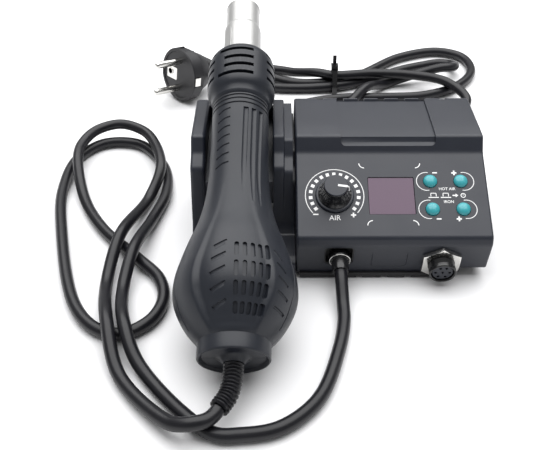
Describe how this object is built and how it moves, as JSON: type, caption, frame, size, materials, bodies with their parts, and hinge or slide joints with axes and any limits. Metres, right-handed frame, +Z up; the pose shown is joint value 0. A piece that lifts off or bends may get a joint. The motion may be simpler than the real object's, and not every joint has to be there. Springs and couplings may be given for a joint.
{
  "type": "hot air station",
  "caption": "Mini rework station with a sloped control panel, airflow knob, push buttons and iron socket; a hot air handset lies nose-up in a side cradle; both leads are included.",
  "frame": {"origin": "on the table under the middle of the station, cradle and handset, leads left out", "axes": "+Z up, the sloped panel faces -Y, +X to the right of someone facing the panel"},
  "size_m": [0.292, 0.3903, 0.1067],
  "materials": {
    "shell_plastic": "fine-grained charcoal moulding",
    "dark_plastic": "black, slightly glossy moulding",
    "lead_rubber": "black flexible sheath with a soft sheen",
    "plated_steel": "nickel plate",
    "bright_steel": "satin steel",
    "teal_plastic": "teal domed caps",
    "tinted_window": "mauve tinted clear window over an unlit display",
    "green_board": "circuit board laminate",
    "mica": "heater former in mica sheet"
  },
  "bodies": {
    "station": {"upper_case": "shell_plastic", "base_cover": "dark_plastic", "rubber_foot_1": "lead_rubber", "rubber_foot_2": "lead_rubber", "rubber_foot_3": "lead_rubber", "rubber_foot_4": "lead_rubber", "base_screw_1": "plated_steel", "base_screw_2": "plated_steel", "base_screw_3": "plated_steel", "base_screw_4": "plated_steel", "display_window": "tinted_window", "display_module": "dark_plastic", "control_board": "green_board", "transformer": "dark_plastic", "power_board": "green_board", "airflow_pot": "plated_steel", "hose_gland": "lead_rubber", "iron_socket_barrel": "dark_plastic", "iron_socket_nut": "plated_steel", "iron_socket_insert": "dark_plastic", "cradle": "shell_plastic", "cradle_screw_1": "plated_steel", "cradle_screw_2": "plated_steel", "handset_lead": "lead_rubber", "mains_gland": "lead_rubber", "mains_lead": "lead_rubber", "cable_tie": "dark_plastic", "plug_body": "lead_rubber", "plug_pin_upper": "bright_steel", "plug_pin_lower": "bright_steel", "earth_clip_near": "bright_steel", "earth_clip_far": "bright_steel", "earth_sleeve": "bright_steel"},
    "knob": {"airflow_knob": "dark_plastic"},
    "iron_down": {"iron_down_button": "teal_plastic"},
    "iron_up": {"iron_up_button": "teal_plastic"},
    "hot_air_down": {"hot_air_down_button": "teal_plastic"},
    "hot_air_up": {"hot_air_up_button": "teal_plastic"},
    "handset": {"handset_upper_shell": "shell_plastic", "handset_lower_shell": "shell_plastic", "vent_collar": "shell_plastic", "nozzle_tube": "bright_steel", "heater_core": "mica", "fan_motor": "dark_plastic", "lead_clamp": "dark_plastic", "handset_magnet": "plated_steel", "strain_relief": "lead_rubber", "handset_screw_1": "plated_steel", "handset_screw_2": "plated_steel", "handset_screw_3": "plated_steel", "handset_screw_4": "plated_steel"},
    "impeller": {"fan_impeller": "dark_plastic"}
  },
  "joints": [
    {"name": "airflow_turn", "type": "hinge", "parent": "station", "child": "knob", "pos_m": [-0.00111, -0.00783, 0.04727], "axis": [0, -0.4819, 0.8762], "range_deg": [-60, 240]},
    {"name": "iron_down_press", "type": "slide", "parent": "station", "child": "iron_down", "axis": [0, 0.4819, -0.8762], "range_m": [0, 0.0008], "stiffness_N_per_m": 900},
    {"name": "iron_up_press", "type": "slide", "parent": "station", "child": "iron_up", "axis": [0, 0.4819, -0.8762], "range_m": [0, 0.0008], "stiffness_N_per_m": 900},
    {"name": "hot_air_down_press", "type": "slide", "parent": "station", "child": "hot_air_down", "axis": [0, 0.4819, -0.8762], "range_m": [0, 0.0008], "stiffness_N_per_m": 900},
    {"name": "hot_air_up_press", "type": "slide", "parent": "station", "child": "hot_air_up", "axis": [0, 0.4819, -0.8762], "range_m": [0, 0.0008], "stiffness_N_per_m": 900},
    {"name": "handset_lift", "type": "slide", "parent": "station", "child": "handset", "axis": [0, 0, 1], "range_m": [0, 0.04]},
    {"name": "fan_spin", "type": "hinge", "parent": "handset", "child": "impeller", "pos_m": [-0.05061, -0.062, 0.03238], "axis": [0, 0.9272, 0.3746], "continuous": true}
  ]
}
